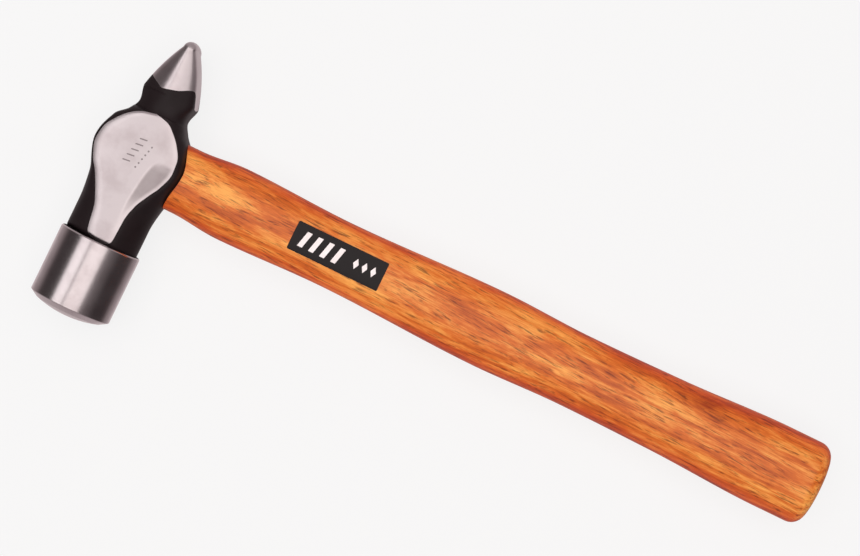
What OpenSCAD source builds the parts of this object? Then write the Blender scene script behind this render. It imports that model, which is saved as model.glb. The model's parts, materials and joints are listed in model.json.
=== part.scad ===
// Cross peen hammer, lying on its side.
// +X runs along the handle from the head to the butt, +Y along the head towards the peen,
// and +Z stands out of the upper cheek. The origin is under the middle of the whole hammer.
// Inside the modules everything is measured from the centre of the eye.

/* [Striking face] */
// Diameter of the round face bar
face_d = 32.2; // [31:0.1:40]
// Length of the face bar from its shoulder to the edge of the face
face_len = 27.2; // [20:0.1:45]
// Width of the bevel around the face, across the radius
face_bevel = 3.1; // [1:0.1:5]
// Depth of that bevel along the head
face_bevel_depth = 1.9; // [0.5:0.1:3]
// Radius of the crown on the face
face_crown_r = 41; // [36:0.1:120]
// Small bevel at the shoulder of the face bar
shoulder_bevel = 0.5; // [0.2:0.1:1.5]

/* [Neck and eye boss] */
// Diameter of the round neck behind the face
neck_d = 29.1; // [26:0.1:30]
// Distance from the eye to the shoulder of the face bar
neck_reach = 34.4; // [30:0.1:50]
// Distance from the eye to the place where the neck starts to swell
swell_start = 23.4; // [20:0.1:28]
// Width of the eye boss along the handle
boss_w = 36.7; // [34:0.1:46]
// Thickness of the boss across the cheeks, before the cheeks are ground
boss_t = 34.2; // [32:0.1:42]
// Distance from the eye centre to the widest place of the boss, towards the peen
boss_shift = 1.5; // [-2:0.1:4]
// Distance between the two ground cheeks
cheek_gap = 26.7; // [24:0.1:29]

/* [Peen] */
// Width of the waist between the eye boss and the peen, along the handle
waist_w = 19.3; // [15:0.1:24]
// Thickness of the waist across the cheeks
waist_t = 24; // [20:0.1:27]
// Distance from the eye centre to the waist
waist_reach = 20.5; // [19.5:0.1:24]
// Width of the root of the peen, along the handle
peen_root_w = 21.3; // [18:0.1:26]
// Thickness of the root of the peen across the cheeks
peen_root_t = 25; // [22:0.1:27]
// Length of the peen from the waist to its edge
peen_len = 28.4; // [20:0.1:40]
// Length of the collar between the waist and the ground wedge
peen_collar = 5.9; // [4:0.1:8]
// Length of the edge of the peen, across the cheeks
peen_edge_len = 20.5; // [14:0.1:26]
// Radius of the rounded edge of the peen
peen_edge_r = 2.6; // [1:0.1:4]
// Bulge of the wedge's two sides at the middle of their height
peen_belly = 0.5; // [0:0.1:1.5]
// Distance that the edge is set away from the handle
peen_set = 0.4; // [0:0.1:2]

/* [Eye] */
// Length of the eye at its tightest place
eye_len = 22.6; // [18:0.1:26]
// Width of the eye at its tightest place
eye_w = 14.1; // [10:0.1:17]
// How much longer the eye is at the top mouth
eye_flare_top = 1.6; // [0:0.1:3]
// How much longer the eye is at the handle mouth
eye_flare_grip = 0.8; // [0:0.1:3]

/* [Handle] */
// Length of the handle from the eye centre to the end of the butt
handle_len = 286.6; // [200:0.1:400]
// Step of the wood around the mouth of the eye, where it leaves the head
root_step = 1.35; // [0.5:0.05:4]
// Height at the first swell
swell_h = 29.1; // [24:0.1:36]
// Height at the slim place before the grip
slim_h = 26.7; // [20:0.1:34]
// Height at the front of the grip
grip_h = 30.4; // [24:0.1:38]
// Height at the waist of the grip
hold_h = 28.4; // [22:0.1:36]
// Height at the palm of the grip
palm_h = 29.5; // [22:0.1:38]
// Height at the butt
butt_h = 33; // [26:0.1:42]
// Distance from the eye boss to the first swell
swell_reach = 20.5; // [12:0.1:35]
// Distance from the eye centre to the slim place
slim_reach = 82; // [60:0.1:100]
// Distance from the end of the butt to the front of the grip
grip_back = 138.6; // [130:0.1:150]
// Distance from the end of the butt to the waist of the grip
hold_back = 103.5; // [90:0.1:120]
// Distance from the end of the butt to the palm of the grip
palm_back = 64.4; // [50:0.1:80]
// Distance from the end of the butt to its thickest place
butt_back = 19.5; // [15:0.1:30]
// Thickness of the handle as a share of its height
handle_flat = 0.74; // [0.6:0.01:0.9]
// Radius of the rounded edge of the butt
butt_round = 5.4; // [2:0.1:9]
// Depth of the dome on the end of the butt
butt_dome = 1.2; // [0.2:0.1:3]
// Air between the shoulder of the wood and the head
shoulder_clearance = 0.05; // [0:0.05:0.5]

/* [Wedges] */
// Depth of the wooden wedge in the tenon
wood_wedge_len = 25; // [15:0.5:30]
// Thickness of the wooden wedge at its top
wood_wedge_top = 4; // [2:0.1:5]
// Thickness of the wooden wedge at its tip
wood_wedge_tip = 0.8; // [0.4:0.1:1.5]
// Length of each steel wedge
steel_wedge_len = 16; // [10:0.5:20]
// Thickness of a steel wedge at its top
steel_wedge_top = 2.4; // [1.5:0.1:3]
// Thickness of a steel wedge at its tip
steel_wedge_tip = 0.5; // [0.3:0.1:1]
// Wood left in the eye on each side of a steel wedge
steel_wedge_side = 2.05; // [1:0.05:3]
// Distance between the middles of the two steel wedges
steel_wedge_gap = 10.7; // [8:0.1:14]

/* [Label] */
// Length of the sticker along the handle
label_len = 37.5; // [20:0.1:60]
// Width of the sticker
label_w = 11.5; // [8:0.1:18]
// Thickness of the sticker
label_t = 0.2; // [0.1:0.05:0.5]
// Distance from the eye centre to the middle of the sticker
label_reach = 83.9; // [60:0.1:200]

/* [Hidden] */

steel = [0.80, 0.77, 0.77];
bare_steel = [0.62, 0.60, 0.60];
wood = [0.83, 0.45, 0.20];
pale_wood = [0.80, 0.62, 0.40];
sticker = [0.13, 0.10, 0.10];

face_r = face_d / 2;
neck_r = neck_d / 2;
boss_r = boss_w / 2;
peen_tip_y = waist_reach + peen_len;
wedge_start = waist_reach + peen_collar;
face_y = -(neck_reach + face_len);
crown_drop = face_crown_r - sqrt(pow(face_crown_r, 2) - pow(face_r - face_bevel, 2));
face_apex_y = face_y - face_bevel_depth - crown_drop;

// From the eye centre to the origin: middle of the length, middle of the head, lowest point.
origin = [(handle_len - boss_r) / 2, (peen_tip_y + face_apex_y) / 2, -face_r];

root_h = eye_len + eye_flare_grip + 2 * root_step;
steel_wedge_w = eye_w - 2 * steel_wedge_side;

head_sides = 40;             // sides of each ring along the head
handle_sides = 32;           // sides of each ring along the handle and the eye
bar_sides = 96;              // sides of the round face bar
body_steps = 5;              // rings from one station to the next, on the head and the handle
eye_steps = 4;               // rings from one station to the next, in the eye
edge_steps = 4;              // rings round a rounded edge, along the peen and over the butt
edge_turn = 84;              // degrees round an edge that its last ring reaches
butt_turn = 80;              // the same, on the edge of the butt
pole = 0.1;                  // share of a step that the middle ring of the butt stays open
past = 1;                    // how far a cutting shape runs past what it cuts
plenty = 200;                // a size larger than the whole head, for cutting blocks

// How square each cross-section is: 2 is an ellipse, more is squarer.
round_power = 2;
swell_power = 2.8;
boss_power = 5;
brow_power = 4;
waist_power = 3;
peen_power = 4;
eye_power = 2.6;
grip_power = 2.3;

// Small sizes that only blend one named size into the next.
neck_root = 4;               // how far the neck runs into the face bar
mouth_depth = 6;             // how far inside the boss the wood starts to flare
eye_throat = 2;              // from the eye centre to the tightest place, towards the top
swell_drop = 0.9;            // hollow in the flank between neck and boss
boss_lean = 0.4;             // lean of the boss towards the face on the handle side
brow_reach = 10.2;           // from the widest place of the boss to its brow
brow_drop = 3.1;             // how much narrower the brow is, on each side
brow_thin = 1.4;             // how much thinner the brow is, on each side
turn_reach = 4.4;            // length of the fillet between brow and waist
turn_out = 2;                // height of that fillet

// ---- Curves through stations ----

// Slope between two neighbouring stations, in column c.
function rise(st, i, c) = (st[i + 1][c] - st[i][c]) / (st[i + 1][0] - st[i][0]);

// Slope at a station: level at the ends and at each high or low place, so nothing overshoots.
function lean(st, i, c) =
    i == 0 || i == len(st) - 1 || rise(st, i - 1, c) * rise(st, i, c) <= 0 ? 0
    : 2 * rise(st, i - 1, c) * rise(st, i, c) / (rise(st, i - 1, c) + rise(st, i, c));

// Cubic from station i to the next, u from 0 to 1.
function between(st, i, u, c) =
    let (span = st[i + 1][0] - st[i][0])
    (1 + 2 * u) * pow(1 - u, 2) * st[i][c] + u * pow(1 - u, 2) * span * lean(st, i, c)
    + u * u * (3 - 2 * u) * st[i + 1][c] - u * u * (1 - u) * span * lean(st, i + 1, c);

// Rows between the stations: [place, value, value, ...], with n steps in each gap.
function rows(st, n) = [
    for (i = [0:len(st) - 2], k = [0:n - 1])
        let (u = k / n)
        concat([st[i][0] + u * (st[i + 1][0] - st[i][0])],
            [for (c = [1:len(st[0]) - 1]) between(st, i, u, c)]),
    st[len(st) - 1]
];

// One point of a rounded oval: power 2 is an ellipse, a higher power is squarer.
function oval(a, b, power, t) = [
    a * sign(cos(t)) * pow(abs(cos(t)), 2 / power),
    b * sign(sin(t)) * pow(abs(sin(t)), 2 / power)
];

// Solid through closed rings that all have the same number of points.
module skin(rings) {
    n = len(rings[0]);
    last = len(rings) - 1;
    walls = [
        for (i = [0:last - 1], k = [0:n - 1], half = [0, 1])
            let (next = (k + 1) % n, a = i * n + k, b = i * n + next)
            let (c = b + n, d = a + n)
            half == 0 ? [a, c, b] : [a, d, c]
    ];
    polyhedron(
        points = [for (ring = rings, p = ring) p],
        faces = concat([[for (k = [0:n - 1]) k]], walls, [[for (k = [n - 1:-1:0]) last * n + k]])
    );
}

// ---- Head ----

// Stations along the head: [y, half width along the handle, half thickness, power, shift in x]
body_stations = [
    [-(neck_reach + neck_root), neck_r, neck_r, round_power, 0],
    [-swell_start, neck_r, neck_r, round_power, 0],
    [-swell_start / 2, (neck_r + boss_r) / 2 - swell_drop, (neck_d + boss_t) / 4, swell_power, boss_lean],
    [boss_shift, boss_r, boss_t / 2, boss_power, 0],
    [boss_shift + brow_reach, boss_r - brow_drop, boss_t / 2 - brow_thin, brow_power, -boss_lean],
    [waist_reach - turn_reach, waist_w / 2 + turn_out, waist_t / 2 + brow_thin, waist_power, 0],
    [waist_reach, waist_w / 2, waist_t / 2, waist_power, 0],
    [wedge_start, peen_root_w / 2, peen_root_t / 2, peen_power, 0]
];

// The ground wedge narrows evenly down to the round edge, with a slight belly.
function wedge_row(u) = [
    wedge_start + u * (peen_tip_y - peen_edge_r - wedge_start),
    peen_root_w / 2 + u * (peen_edge_r - peen_root_w / 2) + 4 * peen_belly * u * (1 - u),
    peen_root_t / 2 + u * (peen_edge_len / 2 - peen_root_t / 2),
    peen_power,
    -u * peen_set
];

// The edge of the peen is round, t degrees from its side to its top.
function edge_row(t) = [
    peen_tip_y - peen_edge_r * (1 - sin(t)),
    peen_edge_r * cos(t),
    peen_edge_len / 2 - peen_edge_r * (1 - cos(t)),
    peen_power,
    -peen_set
];

function body_ring(row) = [
    for (k = [0:head_sides - 1])
        let (p = oval(row[1], row[2], row[3], -k * 360 / head_sides))
        [p.x + row[4], row[0], p.y]
];

module body() {
    body_rows = concat(
        rows(body_stations, body_steps),
        [for (k = [1:edge_steps]) wedge_row(k / edge_steps)],
        [for (k = [1:edge_steps]) edge_row(k * edge_turn / edge_steps)],
        [concat([peen_tip_y], [for (c = [1:4]) edge_row(edge_turn)[c]])]
    );
    skin([for (row = body_rows) body_ring(row)]);
}

// Round bar with the shoulder, the bevelled edge and the crowned face.
module face_bar() {
    translate([0, -neck_reach, 0])
        rotate([90, 0, 0])
            intersection() {
                rotate_extrude($fn = bar_sides)
                    polygon([
                        [0, 0],
                        [face_r - shoulder_bevel, 0],
                        [face_r, shoulder_bevel],
                        [face_r, face_len],
                        [face_r - face_bevel, face_len + face_bevel_depth],
                        [face_r - face_bevel, face_len + face_bevel_depth + crown_drop + past],
                        [0, face_len + face_bevel_depth + crown_drop + past]
                    ]);
                translate([0, 0, face_len + face_bevel_depth + crown_drop - face_crown_r])
                    sphere(r = face_crown_r, $fn = bar_sides);
            }
}

// Stations through the eye: [x, half length, half width]
eye_stations = [
    [-(boss_r + past), (eye_len + eye_flare_top) / 2, (eye_w + eye_flare_top) / 2],
    [-eye_throat, eye_len / 2, eye_w / 2],
    [boss_r + past, (eye_len + eye_flare_grip) / 2, (eye_w + eye_flare_grip) / 2]
];

// The eye, and the tenon that fills it.
module eye() {
    skin([
        for (row = rows(eye_stations, eye_steps))
            [for (k = [0:handle_sides - 1])
                let (p = oval(row[1], row[2], eye_power, k * 360 / handle_sides))
                [row[0], p.x, p.y]]
    ]);
}

// Everything between the two ground cheeks.
module cheek_slab() {
    cube([plenty, plenty, cheek_gap], center = true);
}

module head() {
    color(steel)
        difference() {
            union() {
                face_bar();
                intersection() {
                    body();
                    cheek_slab();
                }
            }
            eye();
        }
}

// ---- Handle ----

// Stations along the handle: [x, half height]
grip_stations = [
    [boss_r - mouth_depth, (eye_len + eye_flare_grip) / 2],
    [boss_r + past, root_h / 2],
    [boss_r + swell_reach, swell_h / 2],
    [slim_reach, slim_h / 2],
    [handle_len - grip_back, grip_h / 2],
    [handle_len - hold_back, hold_h / 2],
    [handle_len - palm_back, palm_h / 2],
    [handle_len - butt_back, butt_h / 2],
    [handle_len - butt_dome - butt_round, butt_h / 2]
];

// The rounded edge of the butt, t degrees from its side to its end.
function butt_row(t) = [
    handle_len - butt_dome - butt_round * (1 - sin(t)),
    butt_h / 2 - butt_round * (1 - cos(t))
];

// The shallow dome on the end of the butt, u from 1 at its rim to 0 at its middle.
function dome_row(u) = [handle_len - butt_dome * u * u, (butt_h / 2 - butt_round) * u];

function grip_rows() = concat(
    rows(grip_stations, body_steps),
    [for (k = [1:edge_steps]) butt_row(k * butt_turn / edge_steps)],
    [for (k = [edge_steps - 1:-1:0]) dome_row(max(k, pole) / edge_steps)]
);

// The oval wood from the head to the butt, standing proud by extra.
module grip(extra = 0) {
    skin([
        for (row = grip_rows())
            [for (k = [0:handle_sides - 1])
                let (half = row[1], turn = k * 360 / handle_sides)
                let (p = oval(half + extra, half * handle_flat + extra, grip_power, turn))
                [row[0], p.x, p.y]]
    ]);
}

// Plan of the eye boss, as an upright block that trims the wood to the head.
module boss_plan(extra) {
    plan = rows(body_stations, body_steps);
    grip_side = [for (row = plan) [row[4] + row[1] + extra, row[0]]];
    top_side = [for (i = [len(plan) - 1:-1:0]) [plan[i][4] - plan[i][1] - extra, plan[i][0]]];
    linear_extrude(height = plenty, center = true)
        polygon(concat(grip_side, top_side));
}

// Wedge with its top at x = -boss_r: tapers in one direction and is straight in the other.
module wedge(depth, top, tip, width) {
    linear_extrude(height = width, center = true)
        polygon([
            [-boss_r - past, -top / 2],
            [-boss_r + depth, -tip / 2],
            [-boss_r + depth, tip / 2],
            [-boss_r - past, top / 2]
        ]);
}

module wood_wedge_shape() {
    rotate([90, 0, 0])
        wedge(wood_wedge_len, wood_wedge_top, wood_wedge_tip, plenty);
}

module steel_wedge_shape(side) {
    translate([0, side * steel_wedge_gap / 2, 0])
        wedge(steel_wedge_len, steel_wedge_top, steel_wedge_tip, steel_wedge_w);
}

module steel_wedges_shape() {
    for (side = [-1, 1])
        steel_wedge_shape(side);
}

// What fills the eye, ground flush with the boss at the top.
module tenon() {
    intersection() {
        eye();
        boss_plan(0);
    }
}

// The stretch of the tenon that reaches through the mouth of the eye into the wood outside.
module mouth_block() {
    translate([boss_r / 2, 0, 0])
        cube([boss_r, plenty, plenty], center = true);
}

module handle() {
    color(wood)
        difference() {
            union() {
                difference() {
                    grip();
                    boss_plan(shoulder_clearance);
                }
                intersection() {
                    eye();
                    union() {
                        boss_plan(0);
                        mouth_block();
                    }
                }
            }
            wood_wedge_shape();
            steel_wedges_shape();
        }
}

module wooden_wedge() {
    color(pale_wood)
        difference() {
            intersection() {
                wood_wedge_shape();
                tenon();
            }
            steel_wedges_shape();
        }
}

module steel_wedge(side) {
    color(bare_steel)
        intersection() {
            steel_wedge_shape(side);
            boss_plan(0);
        }
}

// ---- Label ----

module label() {
    color(sticker)
        difference() {
            intersection() {
                grip(label_t);
                translate([label_reach, 0, plenty / 2])
                    cube([label_len, label_w, plenty], center = true);
            }
            grip();
        }
}

// ---- Assembly ----

translate(-origin) head();
translate(-origin) handle();
translate(-origin) wooden_wedge();
translate(-origin) steel_wedge(-1);  // steel_wedge_face_side
translate(-origin) steel_wedge(1);  // steel_wedge_peen_side
translate(-origin) label();
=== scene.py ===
import json
import math
import bpy
import bmesh
import numpy as np
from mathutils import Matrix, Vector


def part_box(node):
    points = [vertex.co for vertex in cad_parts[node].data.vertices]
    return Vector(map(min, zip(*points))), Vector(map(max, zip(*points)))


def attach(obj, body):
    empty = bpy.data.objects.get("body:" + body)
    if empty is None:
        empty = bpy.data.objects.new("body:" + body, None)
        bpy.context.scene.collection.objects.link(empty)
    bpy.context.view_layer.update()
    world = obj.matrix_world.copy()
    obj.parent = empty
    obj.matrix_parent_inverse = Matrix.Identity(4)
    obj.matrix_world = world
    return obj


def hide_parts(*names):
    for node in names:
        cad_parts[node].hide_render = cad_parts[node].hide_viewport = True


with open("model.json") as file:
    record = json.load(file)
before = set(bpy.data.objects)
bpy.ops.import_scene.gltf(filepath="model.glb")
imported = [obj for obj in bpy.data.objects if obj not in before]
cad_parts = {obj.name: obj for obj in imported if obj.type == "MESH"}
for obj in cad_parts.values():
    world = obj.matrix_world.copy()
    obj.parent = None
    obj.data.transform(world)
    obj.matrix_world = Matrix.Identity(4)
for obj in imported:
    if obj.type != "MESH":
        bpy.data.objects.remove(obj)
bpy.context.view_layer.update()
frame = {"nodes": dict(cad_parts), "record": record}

# The frame gives the eye centre and the outer sizes. Shapes are worked out in mm from the eye centre.
mm = 0.001
cheekMount = next(m for m in frame["record"]["mounts"] if m["name"] == "upper_cheek")
headLow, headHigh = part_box("head")
handleLow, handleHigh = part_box("handle")
eyeCentre = Vector((cheekMount["pos_m"][0], cheekMount["pos_m"][1], (headLow.z + headHigh.z) / 2))
faceRadius = (headHigh.z - headLow.z) / 2 / mm
faceApex = (headLow.y - eyeCentre.y) / mm
peenTip = (headHigh.y - eyeCentre.y) / mm
bossReach = (eyeCentre.x - headLow.x) / mm
cheekHeight = (cheekMount["pos_m"][2] - eyeCentre.z) / mm
buttEnd = (handleHigh.x - eyeCentre.x) / mm
print("frame loaded")


def curveThrough(stations, places):
    # Smooth curve through [place, value, ...] rows that never overshoots a station
    rows = np.array(stations, float)
    at, values = rows[:, 0], rows[:, 1:]
    gaps = np.diff(at)[:, None]
    rises = np.diff(values, axis=0) / gaps
    leans = np.zeros_like(values)
    before, after = rises[:-1], rises[1:]
    same = before * after > 0
    leans[1:-1] = np.where(same, 2 * before * after / np.where(same, before + after, 1), 0)
    places = np.clip(np.asarray(places, float), at[0], at[-1])
    i = np.clip(np.searchsorted(at, places, side="right") - 1, 0, len(at) - 2)
    u = ((places - at[i]) / gaps[i, 0])[..., None]
    span = gaps[i]
    return ((1 + 2 * u) * (1 - u) ** 2 * values[i] + u * (1 - u) ** 2 * span * leans[i]
            + u * u * (3 - 2 * u) * values[i + 1] - u * u * (1 - u) * span * leans[i + 1])


def smoothStep(low, high, value):
    t = np.clip((value - low) / (high - low), 0, 1)
    return t * t * (3 - 2 * t)


def softMin(a, b, blend):
    # The smaller of two values, with the change from one to the other rounded over blend
    overlap = np.clip(blend - np.abs(a - b), 0, None)
    return np.minimum(a, b) - overlap ** 2 / (4 * blend)


def ovalDirection(power, angles):
    # Point of a unit oval in each direction: power 2 is a circle, more is squarer
    c, s = np.cos(angles), np.sin(angles)
    reach = (np.abs(c) ** power + np.abs(s) ** power) ** (-1 / power)
    return reach * c, reach * s


def roundedLine(points, radius, steps=5):
    # Outline with its inner corners rounded
    out = [points[0]]
    for a, b, c in zip(points, points[1:], points[2:]):
        a, b, c = (np.array(p, float) for p in (a, b, c))
        inward, onward = a - b, c - b
        cut = min(radius, 0.45 * np.linalg.norm(inward), 0.45 * np.linalg.norm(onward))
        start = b + inward / np.linalg.norm(inward) * cut
        end = b + onward / np.linalg.norm(onward) * cut
        for k in range(steps + 1):
            u = k / steps
            out.append((1 - u) ** 2 * start + 2 * u * (1 - u) * b + u * u * end)
    out.append(points[-1])
    return np.array(out, float)


def meshObject(name, points, faces, material, sharpAngle=34):
    # Object in the row frame from points in mm round the eye centre
    mesh = bpy.data.meshes.new(name)
    world = np.asarray(points, float) * mm + np.array(eyeCentre)
    mesh.from_pydata(world.tolist(), [], faces)
    tidy = bmesh.new()
    tidy.from_mesh(mesh)
    bmesh.ops.recalc_face_normals(tidy, faces=tidy.faces)
    tidy.to_mesh(mesh)
    tidy.free()
    mesh.polygons.foreach_set("use_smooth", [True] * len(mesh.polygons))
    mesh.set_sharp_from_angle(angle=math.radians(sharpAngle))
    piece = bpy.data.objects.new(name, mesh)
    bpy.context.scene.collection.objects.link(piece)
    if material:
        mesh.materials.append(material)
    return piece


def skinOver(rings):
    # Points and faces of a closed skin over rings of equal length, with a fan at each end
    rings = np.asarray(rings, float)
    m, n = rings.shape[:2]
    points = np.vstack([rings.reshape(-1, 3), rings[0].mean(0), rings[-1].mean(0)])
    faces = []
    for i in range(m - 1):
        for k in range(n):
            k2 = (k + 1) % n
            faces.append((i * n + k, i * n + k2, (i + 1) * n + k2, (i + 1) * n + k))
    for k in range(n):
        faces.append((k, (k + 1) % n, m * n))
        faces.append(((m - 1) * n + k, (m - 1) * n + (k + 1) % n, m * n + 1))
    return points, faces


def cutAway(piece, cutter):
    # Takes the cutter's solid out of the piece
    cut = piece.modifiers.new("cut", "BOOLEAN")
    cut.operation, cut.solver, cut.object = "DIFFERENCE", "EXACT", cutter
    bpy.context.view_layer.update()
    cutMesh = bpy.data.meshes.new_from_object(piece.evaluated_get(bpy.context.evaluated_depsgraph_get()))
    piece.modifiers.clear()
    piece.data = cutMesh
    bpy.data.objects.remove(cutter)


def localPoints(piece):
    # A piece's points in mm round the eye centre
    flat = np.zeros(len(piece.data.vertices) * 3)
    piece.data.vertices.foreach_get("co", flat)
    return (flat.reshape(-1, 3) - np.array(eyeCentre)) / mm


def storeValues(piece, name, values):
    layer = piece.data.attributes.new(name, "FLOAT", "POINT")
    layer.data.foreach_set("value", np.asarray(values, np.float32))


def linear(hexCode, alpha=1.0):
    channels = [int(hexCode[i:i + 2], 16) / 255 for i in (1, 3, 5)]
    return (*[c / 12.92 if c <= 0.04045 else ((c + 0.055) / 1.055) ** 2.4 for c in channels], alpha)


def addNode(tree, kind, settings=None, links=None):
    # Adds a node. A setting is the node's own value or, under a socket's name or number, that socket's.
    # Links feed its sockets
    node = tree.nodes.new(kind)
    for key, value in (settings or {}).items():
        if isinstance(key, int) or not hasattr(node, key):
            node.inputs[key].default_value = value
        else:
            setattr(node, key, value)
    for key, source in (links or {}).items():
        tree.links.new(source, node.inputs[key])
    return node


def newMaterial(name):
    # Empty material with a shader at its output
    material = bpy.data.materials.new(name)
    material.use_nodes = True
    tree = material.node_tree
    tree.nodes.clear()
    shader = addNode(tree, "ShaderNodeBsdfPrincipled")
    addNode(tree, "ShaderNodeOutputMaterial", links={"Surface": shader.outputs["BSDF"]})
    return material, tree, shader


def stops(ramp, *pairs):
    # Sets a colour ramp's stops from (place, colour) pairs
    band = ramp.color_ramp
    for k, (place, colour) in enumerate(pairs):
        stop = band.elements[k] if k < 2 else band.elements.new(place)
        stop.position, stop.color = place, colour
    return ramp


def grey(value):
    return (value, value, value, 1)


camera = {
    "fromEye": (118.6, 7.6, 728),   # mm from the eye centre
    "turn": 25.9,                   # degrees about the upright axis
    "lens": 80.1,
    "sensor": 36,
    "clip": (0.01, 50),             # m
}
viewer = bpy.data.objects.new("viewer", bpy.data.cameras.new("viewer"))
viewer.location = eyeCentre + Vector(camera["fromEye"]) * mm
viewer.rotation_euler = (0, 0, math.radians(camera["turn"]))
viewer.data.lens, viewer.data.sensor_width = camera["lens"], camera["sensor"]
viewer.data.clip_start, viewer.data.clip_end = camera["clip"]
bpy.context.scene.collection.objects.link(viewer)
bpy.context.scene.camera = viewer
bpy.context.scene.view_settings.view_transform = "Standard"

# Each light is a softbox: its middle in metres from the eye centre, its size, its power in watts, and
# whether steel mirrors it. The fill only brightens the wood.
softboxes = {
    "leftBox": {"at": (-0.58, 0.05, 0.95), "size": (0.64, 1.2), "watts": 2.8,
                "colour": "#fff8f8", "mirrored": True},
    "rightBox": {"at": (0.23, 0.05, 0.95), "size": (0.80, 1.2), "watts": 2.9,
                 "colour": "#fff6f4", "mirrored": True},
    "fill": {"at": (0.13, 0.0, 1.6), "size": (2.0, 1.6), "watts": 20.0,
             "colour": "#fffaf6", "mirrored": False},
}
for name, box in softboxes.items():
    lamp = bpy.data.lights.new(name, "AREA")
    lamp.shape, lamp.size, lamp.size_y = "RECTANGLE", *box["size"]
    lamp.energy, lamp.color = box["watts"], linear(box["colour"])[:3]
    holder = bpy.data.objects.new(name, lamp)
    holder.location = eyeCentre + Vector(box["at"])
    holder.visible_camera = False
    holder.visible_glossy = box["mirrored"]
    bpy.context.scene.collection.objects.link(holder)

# The room that steel mirrors: pale below, dark from the horizon up, grey overhead. It gives polished
# steel its bands. Ahead of the face and the peen it is a paler grey.
roomLook = {
    "upright": (0.2, 0, 0.98),      # leans, so that the horizon lies lower beyond the butt
    "bands": [                      # (height from straight down to straight up, colour)
        (0.0, "#e0d2d3"), (0.06, "#d0c3c4"), (0.12, "#ac9fa1"), (0.27, "#8c8081"), (0.36, "#544b4c"),
        (0.45, "#3f3839"), (0.72, "#393334"), (0.9, "#6b6364"), (1.0, "#928a8b"),
    ],
    "ends": "#c0b3b5",
    "endsFrom": 0.2,                # how far towards an end they begin, are at their fullest, and how much
    "endsTo": 0.75,
    "endsShare": 0.75,
}
room = bpy.data.worlds.new("studio")
room.use_nodes = True
bpy.context.scene.world = room
roomTree = room.node_tree
roomTree.nodes.clear()
roomCoords = addNode(roomTree, "ShaderNodeTexCoord")
roomParts = addNode(roomTree, "ShaderNodeSeparateXYZ", links={0: roomCoords.outputs["Generated"]})
roomLean = addNode(roomTree, "ShaderNodeVectorMath", {"operation": "DOT_PRODUCT", 1: roomLook["upright"]},
                   {0: roomCoords.outputs["Generated"]})
roomHeight = addNode(roomTree, "ShaderNodeMapRange", {"From Min": -1.0}, {"Value": roomLean.outputs["Value"]})
roomRamp = stops(addNode(roomTree, "ShaderNodeValToRGB", links={0: roomHeight.outputs[0]}),
                 *[(place, linear(colour)) for place, colour in roomLook["bands"]])
roomAhead = addNode(roomTree, "ShaderNodeMath", {"operation": "ABSOLUTE"}, {0: roomParts.outputs["Y"]})
roomEnds = addNode(roomTree, "ShaderNodeMapRange", {
    "From Min": roomLook["endsFrom"],
    "From Max": roomLook["endsTo"],
    "To Max": roomLook["endsShare"],
}, {"Value": roomAhead.outputs[0]})
roomColour = addNode(roomTree, "ShaderNodeMix", {"data_type": "RGBA", 7: linear(roomLook["ends"])},
                     {0: roomEnds.outputs[0], 6: roomRamp.outputs["Color"]})
roomLight = addNode(roomTree, "ShaderNodeBackground", links={"Color": roomColour.outputs[2]})
addNode(roomTree, "ShaderNodeOutputWorld", links={"Surface": roomLight.outputs["Background"]})


def glowingMaterial(name, look):
    # Plain matt surface that glows a little, so that it stays pale under soft light
    material, _, shader = newMaterial(name)
    shader.inputs["Base Color"].default_value = linear(look["shade"])
    shader.inputs["Roughness"].default_value = look["rough"]
    shader.inputs["Specular IOR Level"].default_value = 0.0
    shader.inputs["Emission Color"].default_value = linear(look["colour"])
    shader.inputs["Emission Strength"].default_value = look["glow"]
    return material


# Pale floor: its size in m, and its drop below the hammer in mm. The dark shade takes only faint shadows
floorLook = {"size": 6, "shade": "#5a5a5a", "rough": 0.9, "colour": "#f7f7f7", "glow": 0.88, "drop": 0.02}
floorMaterial = glowingMaterial("plain pale floor", floorLook)
half = floorLook["size"] / 2
floorMesh = bpy.data.meshes.new("floor")
floorLevel = headLow.z - floorLook["drop"] * mm
floorMesh.from_pydata([(-half, -half, floorLevel), (half, -half, floorLevel), (half, half, floorLevel),
                       (-half, half, floorLevel)], [], [(0, 1, 2, 3)])
floorMesh.materials.append(floorMaterial)
floor = bpy.data.objects.new("floor", floorMesh)
bpy.context.scene.collection.objects.link(floor)

# A pale paper wall stands round the floor. Steel mirrors neither of them, only the room
wallLook = {"radius": 2.9, "height": 3.0, "sides": 96,
            "shade": "#000000", "rough": 0.5, "colour": "#ffffff", "glow": 0.93}
wallMaterial = glowingMaterial("plain pale paper", wallLook)
wallTurns = np.arange(wallLook["sides"]) * 2 * math.pi / wallLook["sides"]
wallFoot = [(wallLook["radius"] * math.cos(turn), wallLook["radius"] * math.sin(turn), floorLevel)
            for turn in wallTurns]
wallHead = [(x, y, floorLevel + wallLook["height"]) for x, y, z in wallFoot]
wallMesh = bpy.data.meshes.new("wall")
wallMesh.from_pydata(wallFoot + wallHead, [], [
    (k, (k + 1) % wallLook["sides"], wallLook["sides"] + (k + 1) % wallLook["sides"], wallLook["sides"] + k)
    for k in range(wallLook["sides"])])
wallMesh.materials.append(wallMaterial)
wall = bpy.data.objects.new("wall", wallMesh)
bpy.context.scene.collection.objects.link(wall)
floor.visible_glossy = wall.visible_glossy = False
wall.visible_diffuse = wall.visible_shadow = False
print("camera, light and floor placed")


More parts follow.
